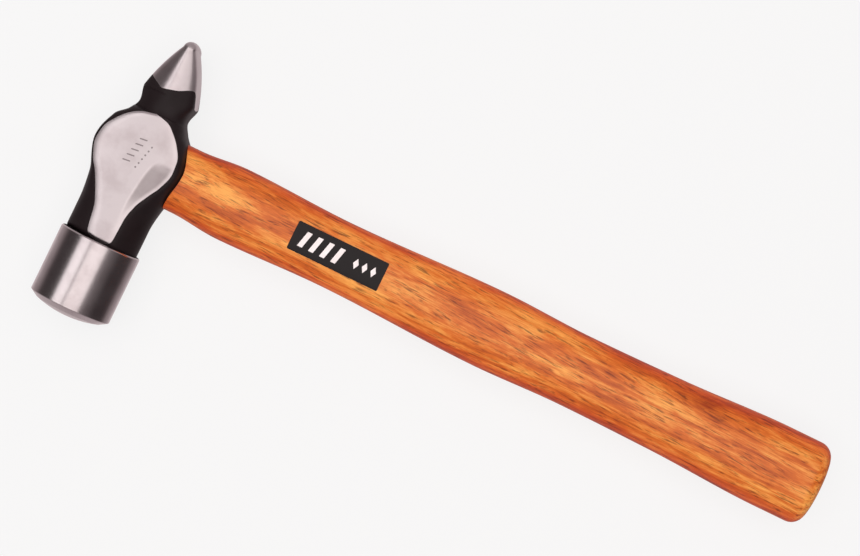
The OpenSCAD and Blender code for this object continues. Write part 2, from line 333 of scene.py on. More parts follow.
# Carbon steel, drop forged and painted black, then ground and polished on the cheeks, the face and the peen.
# The ground places mirror the room in soft bands, with fine belt marks; the paint is dark with a low sheen.
headFinish = {
    "steel": "#ddd7d8",
    "steelWorn": "#d0c8c9",
    "steelShadeAndMarks": "#5b5152",  # painted shade in the hollow beside the cheek, and darker steel in the punch marks
    "paint": "#150f10",
    "paintDust": "#241c1e",
    "steelRough": 0.27,
    "turnedRough": 0.17,    # the face bar, finer than the ground cheeks
    "roughSpread": 0.12,    # how much rougher steel is along its deeper belt marks
    "paintRough": 0.5,
    "paintGloss": 0.2,
    "beltMark": 0.35,       # mm between belt marks, drawn coarser than the real 0.1 mm so that they show
    "beltLength": 7,        # mm along one mark
    "cloud": 9,             # mm between worn patches of steel and between dusty patches of paint
    "wornFrom": 0.3,
    "wornTo": 0.55,
    "paintPeel": 1.6,       # mm between the soft waves of the paint
    "edgeWander": 3.0,      # mm between wanders of the line where paint ends
    "edgeReach": 0.08,      # mm of grinding that the line wanders either way
    "edgeFrom": -0.03,      # mm of grinding over which paint gives way to steel
    "edgeTo": 0.05,
    "paintStep": -1.2,      # bare steel lies lower than paint by this many belt marks
    "bumpStrength": 0.25,
    "bumpHeight": 0.02,     # mm
}


def headMaterial():
    look = headFinish
    material, tree, shader = newMaterial("forged steel, painted and ground")
    coords = addNode(tree, "ShaderNodeTexCoord").outputs["Object"]
    ground = addNode(tree, "ShaderNodeAttribute", {"attribute_name": "groundDepth"}).outputs["Fac"]
    wander = addNode(tree, "ShaderNodeTexNoise", {"Scale": 1 / (look["edgeWander"] * mm), "Detail": 3.0},
                     {"Vector": coords})
    shifted = addNode(tree, "ShaderNodeMath", {"operation": "MULTIPLY_ADD", 1: 2 * look["edgeReach"],
                                               2: -look["edgeReach"]}, {0: wander.outputs["Fac"]})
    depth = addNode(tree, "ShaderNodeMath", {"operation": "ADD"}, {0: ground, 1: shifted.outputs[0]})
    hollowShadeAndMarks = addNode(tree, "ShaderNodeAttribute", {"attribute_name": "hollowShadeAndMarks"}).outputs["Fac"]
    bare = addNode(tree, "ShaderNodeMapRange", {"From Min": look["edgeFrom"], "From Max": look["edgeTo"]},
                   {"Value": depth.outputs[0]})

    # Belt marks: noise stretched across the head, so they run along the handle's direction
    stretched = addNode(tree, "ShaderNodeMapping", {"Scale": (look["beltMark"] / look["beltLength"], 1, 1)},
                        {"Vector": coords})
    marks = addNode(tree, "ShaderNodeTexNoise", {"Scale": 1 / (look["beltMark"] * mm), "Detail": 4.0,
                                                 "Roughness": 0.6}, {"Vector": stretched.outputs[0]})
    cloud = addNode(tree, "ShaderNodeTexNoise", {"Scale": 1 / (look["cloud"] * mm), "Detail": 4.0,
                                                 "Roughness": 0.55}, {"Vector": coords})
    steelColour = addNode(tree, "ShaderNodeMix", {"data_type": "RGBA", 6: linear(look["steelWorn"]),
                                                  7: linear(look["steel"])})
    worn = addNode(tree, "ShaderNodeMapRange", {"From Min": look["wornFrom"], "From Max": look["wornTo"]},
                   {"Value": cloud.outputs["Fac"]})
    tree.links.new(worn.outputs[0], steelColour.inputs[0])
    paintColour = addNode(tree, "ShaderNodeMix", {"data_type": "RGBA", 6: linear(look["paint"]),
                                                  7: linear(look["paintDust"])}, {0: cloud.outputs["Fac"]})
    # Painted shade: the hollow beside the cheek is mixed towards a dark steel colour, and so are the punch
    # marks
    shadeAndMarksColour = addNode(tree, "ShaderNodeMix", {"data_type": "RGBA", 7: linear(look["steelShadeAndMarks"])},
                         {0: hollowShadeAndMarks, 6: steelColour.outputs[2]})
    colour = addNode(tree, "ShaderNodeMix", {"data_type": "RGBA"},
                     {0: bare.outputs[0], 6: paintColour.outputs[2], 7: shadeAndMarksColour.outputs[2]})
    tree.links.new(colour.outputs[2], shader.inputs["Base Color"])
    tree.links.new(bare.outputs[0], shader.inputs["Metallic"])

    turned = addNode(tree, "ShaderNodeAttribute", {"attribute_name": "turned"}).outputs["Fac"]
    smoothness = addNode(tree, "ShaderNodeMix", {"data_type": "FLOAT", 2: look["steelRough"],
                                                 3: look["turnedRough"]}, {0: turned})
    steelRough = addNode(tree, "ShaderNodeMath", {"operation": "MULTIPLY_ADD", 1: look["roughSpread"]},
                         {0: marks.outputs["Fac"], 2: smoothness.outputs[0]})
    rough = addNode(tree, "ShaderNodeMix", {"data_type": "FLOAT", 2: look["paintRough"]},
                    {0: bare.outputs[0], 3: steelRough.outputs[0]})
    tree.links.new(rough.outputs[0], shader.inputs["Roughness"])

    peel = addNode(tree, "ShaderNodeTexNoise", {"Scale": 1 / (look["paintPeel"] * mm), "Detail": 2.0},
                   {"Vector": coords})
    height = addNode(tree, "ShaderNodeMix", {"data_type": "FLOAT"},
                     {0: bare.outputs[0], 2: peel.outputs["Fac"], 3: marks.outputs["Fac"]})
    film = addNode(tree, "ShaderNodeMath", {"operation": "MULTIPLY_ADD", 1: look["paintStep"]},
                   {0: bare.outputs[0], 2: height.outputs[0]})
    bump = addNode(tree, "ShaderNodeBump",
                   {"Strength": look["bumpStrength"], "Distance": look["bumpHeight"] * mm},
                   {"Height": film.outputs[0]})
    tree.links.new(bump.outputs[0], shader.inputs["Normal"])
    shader.inputs["Specular IOR Level"].default_value = look["paintGloss"]
    return material


# Sizes of the head in mm. Its left is the side away from the handle
headShape = {
    "neckReach": 34.4, "barLength": 27.2,   # the face bar begins this far from the eye, and its length
    "bevel": 3.1, "crownRadius": 41, "crownRings": 24, "barStep": 2,
    "shoulderBevel": 0.5, "edgeRound": 0.3,
    "wedgeStart": 26.4, "wedgeBlend": 19,   # where the peen begins, and where the body starts to turn into it
    "rootHalf": (10.65, 12.5), "tipRadius": 2.6, "tipHalf": 10.25, "tipTurn": 8,
    "belly": 0.8, "set": 0.4,   # how far the peen's sides swell, and how far its tip lies to the left
    "edgeCrown": 1.0,      # how far the peen's edge falls away at both its ends
    "peenCorner": 9,       # power of the peen's corners: more is sharper
    "peenLeft": (1.0, 0.6), "peenRight": (0.34, 0.2),   # slope its cheek reaches on each side, and how slowly
    "roll": 1.1,           # rounding where the cheek meets the forged side
    "barRoll": 2.2, "barRollDepth": 0.7,    # the cheek rolls over as it meets the face bar
    "cheekCrown": 300, "crownMiddle": 8,    # radius of the cheek's slight crown, and where it is highest
    "softEdge": 3.6, "softFall": 0.04,      # width of the cheek's softer left edge, and how fast it falls
    "padShare": 0.985,     # most of the forging's width that the cheek may take
    "sideBlend": 0.25,     # share of the width over which one side's thickness turns into the other's
    "sideDepth": 2.6,      # what lies lower than this below the cheek was never ground
    "paintFrom": 24,       # from here on the paint line of the peen counts
    "hollowRim": 0.5, "hollowRoll": 1.8,    # the hollow stops short of the cheek's edge, and how it curves
    "ringStep": 0.4, "ringPoints": 264, "sharpAngle": 34,
}
hair = 0.02     # mm, for finding the points that lie on a plane
neckRadius = 14.55
# [y, left half width, right half width, half thickness, power of the oval]
bodyStations = [
    [-38.4, neckRadius, neckRadius, neckRadius, 2],
    [-23.4, neckRadius, neckRadius, neckRadius, 2],
    [-11.7, 15.15, 15.95, 15.8, 2.8],
    [1.5, bossReach, bossReach, 17.1, 5],
    [11.7, 15.65, 14.85, 15.0, 4],
    [16.1, 11.65, 11.65, 13.6, 3.2],
    [20.5, 9.65, 9.65, 12.0, 3.2],
    [26.4, 10.65, 10.65, 12.5, 3.6],
]
# Outline of the ground cheek: [y, half width on the top side, half width on the handle side]
padStations = [
    [-34.4, 1.0, 2.8],
    [-33.6, 3.0, 4.8],
    [-32.2, 4.4, 5.7],
    [-30, 5.0, 5.9],
    [-23, 6.2, 6.2],
    [-16.6, 8.8, 7.7],
    [-11.2, 11.6, 10.3],
    [-5.9, 15.0, 13.2],
    [0.5, 16.9, 15.0],
    [5.5, 16.2, 14.6],
    [10.5, 13.2, 11.9],
    [14.6, 9.2, 8.2],
    [17.2, 4.4, 4.6],
    [18.0, 0.2, 0.2],
]
# Where the paint ends on the peen: [turn in degrees from the handle side, y]
paintLine = [
    [0, 25.7], [22, 26.0], [38, 31.0], [47, 31.9], [75, 29.4], [88, 28.6], [103, 27.9],
    [116, 28.9], [135, 30.3], [160, 31.6], [180, 31.8], [205, 31.3], [225, 30.2], [246, 28.6],
    [270, 28.4], [290, 29.6], [314, 31.6], [325, 30.4], [338, 26.0], [360, 25.7],
]
# Hollow that the wheel left beside the cheek: [y, x where it starts, depth]
hollowStations = [
    [-25, 4.2, 0], [-18, 4.0, 0.35], [-11, 4.6, 0.8],
    [-4, 5.6, 0.9], [0, 6.8, 0.6], [3.2, 8.4, 0],
]


# The cheek's outline, blurred along its length so that no station shows as a corner
padStep = 0.1
padReach = 12       # steps to either side that the blur takes in
padPlaces = np.arange(padStations[0][0], padStations[-1][0] + padStep / 2, padStep)
padBlur = np.exp(-np.linspace(-2, 2, 2 * padReach + 1) ** 2)
padBlur = padBlur / padBlur.sum()
padSmooth = np.stack([
    np.convolve(np.pad(column, padReach, mode="reflect", reflect_type="odd"), padBlur, mode="valid")
    for column in curveThrough(padStations, padPlaces).T])


def padHalf(y):
    # Half widths of the ground cheek at y, on the left and on the handle side
    return np.stack([np.interp(y, padPlaces, side) for side in padSmooth], -1)


def rawSection(y, angles):
    # The forged cross-section at y, before the cheeks are ground: x and z
    left, right, thick, power = curveThrough(bodyStations, y)
    padLeft, padRight = padHalf(y)
    across = np.cos(angles)
    side = smoothStep(-headShape["sideBlend"], headShape["sideBlend"], across)
    width = left + (right - left) * (across > 0)
    if y < padStations[-1][0]:
        # As thick as it has to be for the ground cheek to come out as wide as its outline
        needLeft, needRight = (cheekHeight / (1 - min(p / w, headShape["padShare"]) ** power) ** (1 / power)
                               for p, w in ((padLeft, left), (padRight, right)))
        thick = needLeft + (needRight - needLeft) * side
    unitX, unitZ = ovalDirection(power, angles)
    return width * unitX, thick * unitZ


def wedgeSection(u, angles):
    # Cross-section of the peen at a share u of its length: x and z
    shape = headShape
    rootX, rootZ = shape["rootHalf"]
    halfX = rootX + u * (shape["tipRadius"] - rootX) + 4 * shape["belly"] * u * (1 - u)
    halfZ = rootZ + u * (shape["tipHalf"] - rootZ)
    # On the left the cheek falls in a wide round. On the handle side it is flatter and ends at an edge
    unitX, unitZ = ovalDirection(shape["peenCorner"], angles)
    slope = np.where(unitX < 0, shape["peenLeft"][0], shape["peenRight"][0])
    slow = np.where(unitX < 0, shape["peenLeft"][1], shape["peenRight"][1])
    fall = slope * (np.sqrt(unitX ** 2 + slow ** 2) - slow)
    return halfX * unitX - u * shape["set"], unitZ * (halfZ - halfX * fall)


def edgeDrop(u, z):
    # How far the peen's edge falls back towards its two ends
    return headShape["edgeCrown"] * u ** 2 * (z / headShape["tipHalf"]) ** 2


def hollowDepth(x, y):
    # How far the wheel went below the cheek plane, and a rolled edge all round
    start, depth = curveThrough(hollowStations, y)
    rim = headShape["hollowRim"]
    edge = padHalf(y)[1] - rim
    s = np.clip((x - start) / max(edge - start, rim), 0, 1)
    return depth * (1 - (1 - s) ** headShape["hollowRoll"])


def crownDrop(x, y):
    # How far the cheek's crown falls away at a place, with a softer edge on the left
    shape = headShape
    past = np.clip(shape["softEdge"] - padHalf(y)[0] - x, 0, None)
    return (x - shape["crownMiddle"]) ** 2 / (2 * shape["cheekCrown"]) + shape["softFall"] * past ** 2


def headRings():
    # Rings round the head from the middle of the face to the peen's edge
    shape = headShape
    angles = np.arange(shape["ringPoints"]) * 2 * math.pi / shape["ringPoints"]
    circle = np.stack([np.cos(angles), np.sin(angles)], 1)
    crownEdge = faceRadius - shape["bevel"]
    barEnd = -(shape["neckReach"] + shape["barLength"])
    crown = []
    for k in range(1, shape["crownRings"] + 1):
        r = crownEdge * k / shape["crownRings"]
        crown.append((r, faceApex + shape["crownRadius"] - math.sqrt(shape["crownRadius"] ** 2 - r * r)))
    corner = [crown[-1], (faceRadius, barEnd), (faceRadius, -shape["neckReach"] - shape["shoulderBevel"]),
              (faceRadius - shape["shoulderBevel"], -shape["neckReach"]), (neckRadius, -shape["neckReach"])]
    profile = crown[:-1] + [tuple(p) for p in roundedLine([crown[-2]] + corner, shape["edgeRound"])[1:]]
    longBar = []
    for a, b in zip(profile, profile[1:]):
        steps = max(1, round(abs(b[1] - a[1]) / shape["barStep"]))
        longBar += [(a[0] + (b[0] - a[0]) * k / steps, a[1] + (b[1] - a[1]) * k / steps)
                    for k in range(steps)]
    rings = [np.stack([circle[:, 0] * r, np.full(len(circle), y), circle[:, 1] * r], 1) for r, y in longBar]

    places = np.arange(-shape["neckReach"], shape["wedgeStart"], shape["ringStep"])
    for y in places:
        x, z = rawSection(y, angles)
        toWedge = smoothStep(shape["wedgeBlend"], shape["wedgeStart"], y)
        wedgeX, wedgeZ = wedgeSection(0, angles)
        widest = np.abs(x).max() / np.abs(wedgeX).max()
        x = x + (wedgeX * widest - x) * toWedge
        z = z + (wedgeZ * np.abs(z).max() / np.abs(wedgeZ).max() - z) * toWedge
        ceiling = cheekHeight - hollowDepth(x, y) - crownDrop(x, y)
        rolled = smoothStep(-shape["neckReach"] + shape["barRoll"], -shape["neckReach"], y)
        ceiling -= shape["barRollDepth"] * rolled ** 2
        z = np.sign(z) * softMin(np.abs(z), ceiling, shape["roll"])
        rings.append(np.stack([x, np.full(len(x), y), z], 1))
    wedgeEnd = peenTip - shape["tipRadius"]
    for u in np.arange(0, 1, shape["ringStep"] / (wedgeEnd - shape["wedgeStart"])):
        x, z = wedgeSection(u, angles)
        y = shape["wedgeStart"] + u * (wedgeEnd - shape["wedgeStart"]) - edgeDrop(u, z)
        rings.append(np.stack([x, y, z], 1))
    lastX, lastZ = wedgeSection(1.0, angles)
    for t in np.radians(np.arange(0, 89, shape["tipTurn"])):
        x = (lastX + shape["set"]) * math.cos(t) - shape["set"]
        z = lastZ * (1 - shape["tipRadius"] * (1 - math.cos(t)) / shape["tipHalf"])
        rings.append(np.stack([x, wedgeEnd + shape["tipRadius"] * math.sin(t) - edgeDrop(1, z), z], 1))
    return rings


def groundDepth(points):
    # How deep the grinding went at each point, in mm: above 0 is bare steel, below 0 is painted
    depth = np.full(len(points), -1.0)
    shape = headShape
    for i, (x, y, z) in enumerate(points):
        if y < -shape["neckReach"] - 2 * hair:
            depth[i] = 1
        elif y < -shape["neckReach"] + hair:
            continue    # the bar's shoulder keeps its paint
        elif y < padStations[-1][0]:
            if abs(z) < cheekHeight - shape["sideDepth"]:
                continue
            pad = padHalf(y)
            depth[i] = (pad[0] if x < 0 else pad[1]) - abs(x)
        elif y > shape["paintFrom"]:
            turn = math.degrees(math.atan2(z, x)) % 360
            depth[i] = y - float(curveThrough(paintLine, turn)[0])
    return depth


# How much darker the punch marks are, and how strong the painted shade in the hollow beside the cheek is,
# with the places they are looked for in mm
shadeAndMarkLevels = {
    "mark": 0.65, "markDepth": 0.08, "markArea": (6, 9),
    "hollow": 0.5, "hollowStart": 1.0, "hollowRim": (0.6, 1.8), "perDepth": 1.3,
}


def hollowShadeAndMarksShare(points):
    # How far the upper cheek's steel is darkened at each point: painted shade in the hollow, darker steel in
    # the punch marks
    dull = np.zeros(len(points))
    for i, (x, y, z) in enumerate(points):
        if z < cheekHeight - headShape["sideDepth"] or not padStations[0][0] < y < padStations[-1][0]:
            continue
        below = cheekHeight - z - crownDrop(x, y)
        start, depth = curveThrough(hollowStations, y)
        if x < start:
            inArea = abs(x) < shadeAndMarkLevels["markArea"][0] and abs(y) < shadeAndMarkLevels["markArea"][1]
            dull[i] = shadeAndMarkLevels["mark"] * float(below > shadeAndMarkLevels["markDepth"] and inArea)
        else:
            rim = float(padHalf(y)[1]) - x
            # The hollow's painted shade is darker where the hollow is deeper
            dull[i] = (shadeAndMarkLevels["hollow"] * smoothStep(0, shadeAndMarkLevels["hollowStart"], x - start)
                       * smoothStep(*shadeAndMarkLevels["hollowRim"], rim) * min(1, shadeAndMarkLevels["perDepth"] * depth))
    return dull


# The eye is an oval that flares towards both openings, more towards the far one
eyeShape = {
    "half": (11.3, 7.05), "power": 2.6, "flare": 0.8, "narrowest": -2, "nearShare": 0.5,
    "clearance": 0.03, "past": 2, "rings": 40, "ringPoints": 96,
}


def tenonOutline(x, count, extra=0):
    # Oval of the eye at x, as y and z
    shape = eyeShape
    share = np.interp(x, [-bossReach, shape["narrowest"], bossReach], [1, 0, shape["nearShare"]])
    grown = shape["flare"] * share + extra
    unitY, unitZ = ovalDirection(shape["power"], np.arange(count) * 2 * math.pi / count)
    return (shape["half"][0] + grown) * unitY, (shape["half"][1] + grown) * unitZ


# Plain punch marks: a row of slanted strokes and a row of dots, in no writing. Sizes in mm, turns in degrees
punchMarks = {
    "middle": (0.6, 2.0), "turn": 75, "rowGap": 4.3, "depth": 0.16, "roundSteps": 6,
    "strokes": 5, "strokeStep": 2.5, "strokeLength": 2.6, "strokeWidth": 0.5, "slant": 22,
    "dots": 6, "dotStep": 1.9, "dotRadius": 0.38,
}


def stampCutter():
    # The solids that the punch took out of the cheek
    stamp = punchMarks
    turn, lean = math.radians(stamp["turn"]), math.radians(stamp["slant"])
    along = np.array([math.cos(turn), math.sin(turn)])
    across = np.array([math.sin(turn), -math.cos(turn)])
    up = across * math.cos(lean) + along * math.sin(lean)
    over = along * math.cos(lean) - across * math.sin(lean)
    middle = np.array(stamp["middle"])
    toRow = across * stamp["rowGap"] / 2
    steps = stamp["roundSteps"]
    outlines = []
    for k in range(stamp["strokes"]):
        centre = middle + along * stamp["strokeStep"] * (k - (stamp["strokes"] - 1) / 2) - toRow
        ring = []
        for end in (1, -1):
            for q in range(steps + 1):
                a = math.pi * q / steps
                ring.append(centre + up * end * stamp["strokeLength"] / 2
                            + stamp["strokeWidth"] / 2 * end * (up * math.sin(a) + over * math.cos(a)))
        outlines.append(ring)
    for k in range(stamp["dots"]):
        centre = middle + along * stamp["dotStep"] * (k - (stamp["dots"] - 1) / 2) + toRow
        outlines.append([centre + stamp["dotRadius"] * (along * math.cos(a) + across * math.sin(a))
                         for a in np.arange(2 * steps) * math.pi / steps])
    points, faces = [], []
    for ring in outlines:
        base, n = len(points), len(ring)
        points += [(p[0], p[1], cheekHeight - crownDrop(*p) - stamp["depth"]) for p in ring]
        points += [(p[0], p[1], cheekHeight + 1) for p in ring]
        faces += [tuple(base + k for k in range(n)), tuple(base + n + k for k in reversed(range(n)))]
        faces += [(base + k, base + (k + 1) % n, base + n + (k + 1) % n, base + n + k) for k in range(n)]
    return meshObject("stampCutter", points, faces, None)


def makeHead():
    head = meshObject("hammerHead", *skinOver(headRings()), headMaterial(), headShape["sharpAngle"])
    eyeRings = []
    eyeEnd = bossReach + eyeShape["past"]
    for x in np.linspace(-eyeEnd, eyeEnd, eyeShape["rings"]):
        y, z = tenonOutline(x, eyeShape["ringPoints"], eyeShape["clearance"])
        eyeRings.append(np.stack([np.full(len(y), x), y, z], 1))
    cutAway(head, meshObject("eyeCutter", *skinOver(eyeRings), None))
    cutAway(head, stampCutter())
    head.data.polygons.foreach_set("use_smooth", [True] * len(head.data.polygons))
    head.data.set_sharp_from_angle(angle=math.radians(headShape["sharpAngle"]))
    local = localPoints(head)
    storeValues(head, "groundDepth", groundDepth(local))
    # Painted shade in the hollow and the darker punch marks, as a share at each point
    storeValues(head, "hollowShadeAndMarks", hollowShadeAndMarksShare(local))
    storeValues(head, "turned", local[:, 1] < -headShape["neckReach"] + hair)
    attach(head, "root")
    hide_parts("head")
    return head


head = makeHead()
print("head made,", len(head.data.polygons), "faces")


# Dense reddish hardwood, turned and sanded, stained orange and lacquered. It shows rings as long bands,
# dark pores as short streaks, and a soft shine that hides the fibres a little.
woodFinish = {
    "light": "#efa64f",
    "middle": "#d16a22",
    "deep": "#98380f",
    "pore": "#4a1a0b",
    "flank": "#fbb27a",     # painted shade: what the colour is multiplied by on the narrow sides, which come out darker and redder
    "pith": (0, 18, 35),    # mm, how far the tree's middle lies beside and below the handle
    "pithLean": (0, 0.03, 0.05),    # radians that it leans
    "bendWidth": 16,        # mm over which the grain bends, its stretch along the handle and its reach in mm
    "bendStretch": 0.16,
    "bendReach": 5.5,
    "ringWidth": 3.4,       # mm from one growth ring to the next
    "ringTones": [(0.0, 0.15), (0.12, 0.75), (0.55, 1.0), (0.86, 0.55), (1.0, 0.15)],
    "patchWidth": 14,       # mm between lighter and darker patches, and their stretch
    "patchStretch": 0.3,
    "streakWidth": 1.2,     # mm
    "streakStretch": 0.13,
    "fibreWidth": 0.35,     # mm, drawn coarser than real fibres so that they show
    "fibreStretch": 0.03,
    "poreWidth": 0.5,       # mm, drawn twice as coarse as the real pores so that they show
    "poreLength": 6,
    "poreGap": 1.4,         # pore widths between pores
    "poreFrom": 0.54,       # where in the noise pores begin and are fully open, and how dark they are
    "poreTo": 0.68,
    "poreShare": 0.7,
    "ringShare": 0.26,      # what each pattern adds to the tone
    "patchShare": 1.2,
    "streakShare": 0.65,
    "fibreShare": 0.42,
    "toneShift": -0.767,    # brings the sum's middle to one half
    "tones": (0.15, 0.5, 0.8),      # where the deep, middle and light colours stand
    "smoothest": 0.39,
    "roughest": 0.55,
    "gloss": 0.3,
    "lacquer": 0.08,
    "lacquerRough": 0.35,
    "bumpStrength": 0.35,
    "bumpHeight": 0.05,     # mm
}


def woodMaterial():
    look = woodFinish
    material, tree, shader = newMaterial("stained and lacquered hardwood")
    coords = addNode(tree, "ShaderNodeTexCoord").outputs["Object"]

    # The tree's middle lies below the handle, so the rings cut its surface as long bands
    moved = addNode(tree, "ShaderNodeMapping", {"Location": [place * mm for place in look["pith"]],
                                                "Rotation": look["pithLean"]}, {"Vector": coords})
    bend = addNode(tree, "ShaderNodeMapping", {"Scale": (look["bendStretch"], 1, 1)}, {"Vector": coords})
    bendNoise = addNode(tree, "ShaderNodeTexNoise", {"Scale": 1 / (look["bendWidth"] * mm), "Detail": 3.0,
                                                     "Roughness": 0.5}, {"Vector": bend.outputs[0]})
    bendReach = look["bendReach"] * mm
    bendAmount = addNode(tree, "ShaderNodeVectorMath", {"operation": "MULTIPLY_ADD",
                                                        1: (0, 2 * bendReach, 2 * bendReach),
                                                        2: (0, -bendReach, -bendReach)},
                         {0: bendNoise.outputs["Color"]})
    bent = addNode(tree, "ShaderNodeVectorMath", {"operation": "ADD"}, {0: moved.outputs[0],
                                                                        1: bendAmount.outputs[0]})
    flat = addNode(tree, "ShaderNodeVectorMath", {"operation": "MULTIPLY", 1: (0, 1, 1)},
                   {0: bent.outputs[0]})
    reach = addNode(tree, "ShaderNodeVectorMath", {"operation": "LENGTH"}, {0: flat.outputs[0]})
    rings = addNode(tree, "ShaderNodeMath", {"operation": "MULTIPLY", 1: 1 / (look["ringWidth"] * mm)},
                    {0: reach.outputs["Value"]})
    ringPart = addNode(tree, "ShaderNodeMath", {"operation": "FRACT"}, {0: rings.outputs[0]})
    ringTone = stops(addNode(tree, "ShaderNodeValToRGB", links={0: ringPart.outputs[0]}),
                     *[(place, grey(value)) for place, value in look["ringTones"]])

    patches = addNode(tree, "ShaderNodeMapping", {"Scale": (look["patchStretch"], 1, 1)}, {"Vector": coords})
    patchNoise = addNode(tree, "ShaderNodeTexNoise", {"Scale": 1 / (look["patchWidth"] * mm), "Detail": 5.0,
                                                      "Roughness": 0.62}, {"Vector": patches.outputs[0]})
    fibres = addNode(tree, "ShaderNodeMapping", {"Scale": (look["fibreStretch"], 1, 1)}, {"Vector": coords})
    fibreNoise = addNode(tree, "ShaderNodeTexNoise", {"Scale": 1 / (look["fibreWidth"] * mm), "Detail": 3.0,
                                                      "Roughness": 0.6}, {"Vector": fibres.outputs[0]})
    poreMap = addNode(tree, "ShaderNodeMapping", {"Scale": (look["poreWidth"] / look["poreLength"], 1, 1)},
                      {"Vector": bent.outputs[0]})
    poreScale = 1 / (look["poreGap"] * look["poreWidth"] * mm)
    poreNoise = addNode(tree, "ShaderNodeTexNoise", {"Scale": poreScale, "Detail": 3.0, "Roughness": 0.6},
                        {"Vector": poreMap.outputs[0]})
    pores = addNode(tree, "ShaderNodeMapRange", {"From Min": look["poreFrom"], "From Max": look["poreTo"]},
                    {"Value": poreNoise.outputs["Fac"]})
    streaks = addNode(tree, "ShaderNodeMapping", {"Scale": (look["streakStretch"], 1, 1)},
                      {"Vector": bent.outputs[0]})
    streakNoise = addNode(tree, "ShaderNodeTexNoise", {"Scale": 1 / (look["streakWidth"] * mm), "Detail": 4.0,
                                                       "Roughness": 0.65}, {"Vector": streaks.outputs[0]})

    # The tone adds up from rings, patches, streaks and fibres, round a middle of one half
    tone = addNode(tree, "ShaderNodeMath", {"operation": "MULTIPLY_ADD", 1: look["ringShare"],
                                            2: look["toneShift"]}, {0: ringTone.outputs["Color"]})
    patterns = (("patchShare", patchNoise), ("streakShare", streakNoise), ("fibreShare", fibreNoise))
    for share, source in patterns:
        tone = addNode(tree, "ShaderNodeMath", {"operation": "MULTIPLY_ADD", 1: look[share]},
                       {0: source.outputs["Fac"], 2: tone.outputs[0]})
    body = stops(addNode(tree, "ShaderNodeValToRGB", links={0: tone.outputs[0]}),
                 *zip(look["tones"], (linear(look[part]) for part in ("deep", "middle", "light"))))
    poreDark = addNode(tree, "ShaderNodeMath", {"operation": "MULTIPLY", 1: look["poreShare"]},
                       {0: pores.outputs[0]})
    grained = addNode(tree, "ShaderNodeMix", {"data_type": "RGBA", 7: linear(look["pore"])},
                      {0: poreDark.outputs[0], 6: body.outputs["Color"]})
    # Painted shade: the narrow sides of the handle are multiplied darker and redder
    flank = addNode(tree, "ShaderNodeAttribute", {"attribute_name": "flank"})
    colour = addNode(tree, "ShaderNodeMix", {"data_type": "RGBA", "blend_type": "MULTIPLY",
                                             7: linear(look["flank"])},
                     {0: flank.outputs["Fac"], 6: grained.outputs[2]})
    tree.links.new(colour.outputs[2], shader.inputs["Base Color"])

    rough = addNode(tree, "ShaderNodeMapRange", {"To Min": look["smoothest"], "To Max": look["roughest"]},
                    {"Value": patchNoise.outputs["Fac"]})
    tree.links.new(rough.outputs[0], shader.inputs["Roughness"])
    shader.inputs["Specular IOR Level"].default_value = look["gloss"]
    shader.inputs["Coat Weight"].default_value = look["lacquer"]
    shader.inputs["Coat Roughness"].default_value = look["lacquerRough"]
    height = addNode(tree, "ShaderNodeMath", {"operation": "MULTIPLY_ADD", 1: -1.0},
                     {0: pores.outputs[0], 2: fibreNoise.outputs["Fac"]})
    bump = addNode(tree, "ShaderNodeBump",
                   {"Strength": look["bumpStrength"], "Distance": look["bumpHeight"] * mm},
                   {"Height": height.outputs[0]})
    tree.links.new(bump.outputs[0], shader.inputs["Normal"])
    return material


# Sizes of the handle in mm
handleShape = {
    "flat": 0.74,           # how thick the grip's oval is for its height
    "power": 2.3,
    "buttRound": 5.4, "buttDome": 1.2,
    "shoulderGap": 0.06,    # between the head and the handle's shoulder
    "endSunk": 0.12,        # how far the tenon's end lies below the steel
    "settle": 9,            # past this from the shoulder, rings no longer follow the head's curve
    "shoulderShares": (0.25, 0.5, 0.75, 0.96),  # rings between the eye's opening and the grip
    "ringPoints": 176, "ringStep": 0.9, "endRings": 12, "tenonRings": 20, "rimTurn": 8, "domeRings": 14,
    "sharpAngle": 40,
    "flankFrom": 0.6,       # share of the half height where the painted shade of the narrow sides begins
}
# [x, half height]
gripStations = [
    [bossReach + 1, 13.05], [bossReach + 20.5, 14.55], [82, 13.35], [buttEnd - 138.6, 15.2],
    [buttEnd - 103.5, 14.2], [buttEnd - 64.4, 14.75], [buttEnd - 19.5, 16.5], [buttEnd - 6.6, 16.5],
]


def bossSide(y, side):
    # How far the head reaches from the eye centre at y: side 0 is the top, side 1 is the handle side
    return curveThrough(bodyStations, y)[..., side]


def gripHalf(x):
    # Half height of the grip at x, with the butt's rounded rim taken off
    half = curveThrough(gripStations, x)[..., 0]
    rim = buttEnd - handleShape["buttDome"] - handleShape["buttRound"]
    into = np.clip((x - rim) / handleShape["buttRound"], 0, 1)
    return half - handleShape["buttRound"] * (1 - np.sqrt(1 - into ** 2))


